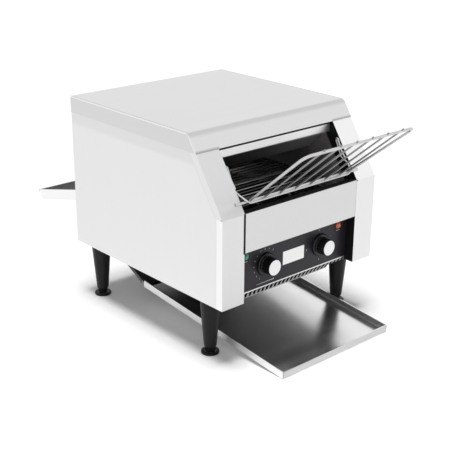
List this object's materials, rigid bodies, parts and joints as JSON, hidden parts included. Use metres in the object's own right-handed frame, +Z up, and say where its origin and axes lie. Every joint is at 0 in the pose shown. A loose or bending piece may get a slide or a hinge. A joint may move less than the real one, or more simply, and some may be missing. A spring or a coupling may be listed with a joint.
{
  "type": "conveyor toaster",
  "caption": "Counter-top conveyor toaster with a wire feed rack, wire belt, heating tubes, sloped front, two control knobs, and front and rear toast trays.",
  "frame": {"origin": "on the worktop, under the middle of the overall length and width, trays and feed rack included", "axes": "+X is the operator's right when facing the controls, +Y runs from the controls to the back, +Z is up"},
  "size_m": [0.3684, 0.7688, 0.3927],
  "materials": {
    "stainless": "brushed",
    "zinc_sheet": "satin",
    "panel_paint": "satin",
    "oven_sheet": "satin",
    "chrome_wire": "polished",
    "belt_wire": "satin",
    "shaft_steel": "satin",
    "bronze": "satin",
    "quartz": "frosted",
    "ceramic": "matte",
    "leg_plastic": "satin",
    "knob_plastic": "satin",
    "knob_metal": "spun",
    "lamp_green_lens": "gloss",
    "lamp_orange_lens": "gloss",
    "label_silver": "satin",
    "motor_metal": "satin",
    "control_plastic": "matte"
  },
  "bodies": {
    "housing": {"left_side_panel": "stainless", "right_side_panel": "stainless", "top_cover": "stainless", "rear_panel": "stainless", "front_fascia": "stainless", "upper_front_rail": "stainless", "base_pan": "zinc_sheet", "front_vent_strip": "stainless", "control_panel": "panel_paint", "label_plate": "label_silver", "left_inner_wall": "oven_sheet", "right_inner_wall": "oven_sheet", "heater_front_shield": "oven_sheet", "ceiling_reflector": "oven_sheet", "crumb_baffle": "oven_sheet", "upper_heater_tubes": "quartz", "lower_heater_tubes": "quartz", "heater_holders": "ceramic", "conveyor_belt": "belt_wire", "shaft_bushes": "bronze", "return_chute": "oven_sheet", "tray_ledge": "oven_sheet", "gear_motor": "motor_metal", "motor_bracket": "zinc_sheet", "rear_tray_runners": "zinc_sheet", "speed_controller": "control_plastic", "heat_switch": "control_plastic", "green_lamp": "lamp_green_lens", "orange_lamp": "lamp_orange_lens", "legs": "leg_plastic", "cord_gland": "leg_plastic", "terminal_block": "ceramic"},
    "rack": {"feed_rack": "chrome_wire"},
    "front_tray": {"catch_tray": "stainless"},
    "back_tray": {"rear_tray": "stainless"},
    "speed_control": {"speed_knob": "knob_plastic", "speed_knob_cap": "knob_metal", "speed_spindle": "shaft_steel"},
    "heat_control": {"heat_knob": "knob_plastic", "heat_knob_cap": "knob_metal", "heat_spindle": "shaft_steel"},
    "back_shaft": {"drive_shaft": "shaft_steel", "shaft_coupling": "shaft_steel", "motor_shaft": "shaft_steel"},
    "front_shaft": {"idler_shaft": "shaft_steel"},
    "level_front_left": {"foot_front_left": "leg_plastic"},
    "level_front_right": {"foot_front_right": "leg_plastic"},
    "level_back_left": {"foot_back_left": "leg_plastic"},
    "level_back_right": {"foot_back_right": "leg_plastic"}
  },
  "joints": [
    {"name": "rack_tilt", "type": "hinge", "parent": "housing", "child": "rack", "pos_m": [0, -0.24801, 0.2773], "axis": [-1, 0, 0], "range_deg": [0, 80]},
    {"name": "catch_tray_slide", "type": "slide", "parent": "housing", "child": "front_tray", "axis": [0, -1, 0], "range_m": [0, 0.28]},
    {"name": "rear_tray_slide", "type": "slide", "parent": "housing", "child": "back_tray", "axis": [0, 0.9703, -0.2419], "range_m": [0, 0.2]},
    {"name": "speed_knob_turn", "type": "hinge", "parent": "housing", "child": "speed_control", "pos_m": [-0.067, -0.25866, 0.151], "axis": [0, 1, 0], "range_deg": [-150, 150]},
    {"name": "heat_knob_turn", "type": "hinge", "parent": "housing", "child": "heat_control", "pos_m": [0.067, -0.25866, 0.151], "axis": [0, 1, 0], "range_deg": [0, 270]},
    {"name": "drive_shaft_turn", "type": "hinge", "parent": "housing", "child": "back_shaft", "pos_m": [0, 0.08814, 0.232], "axis": [-1, 0, 0], "continuous": true, "deforming": ["conveyor_belt"]},
    {"name": "idler_shaft_turn", "type": "hinge", "parent": "housing", "child": "front_shaft", "pos_m": [0, -0.21666, 0.232], "axis": [-1, 0, 0], "continuous": true},
    {"name": "level_front_left", "type": "slide", "parent": "housing", "child": "level_front_left", "axis": [0, 0, -1], "range_m": [0, 0.015]},
    {"name": "level_front_right", "type": "slide", "parent": "housing", "child": "level_front_right", "axis": [0, 0, -1], "range_m": [0, 0.015]},
    {"name": "level_back_left", "type": "slide", "parent": "housing", "child": "level_back_left", "axis": [0, 0, -1], "range_m": [0, 0.015]},
    {"name": "level_back_right", "type": "slide", "parent": "housing", "child": "level_back_right", "axis": [0, 0, -1], "range_m": [0, 0.015]}
  ],
  "couplings": [
    {"joint": "idler_shaft_turn", "follows": "drive_shaft_turn", "ratio": 1}
  ]
}
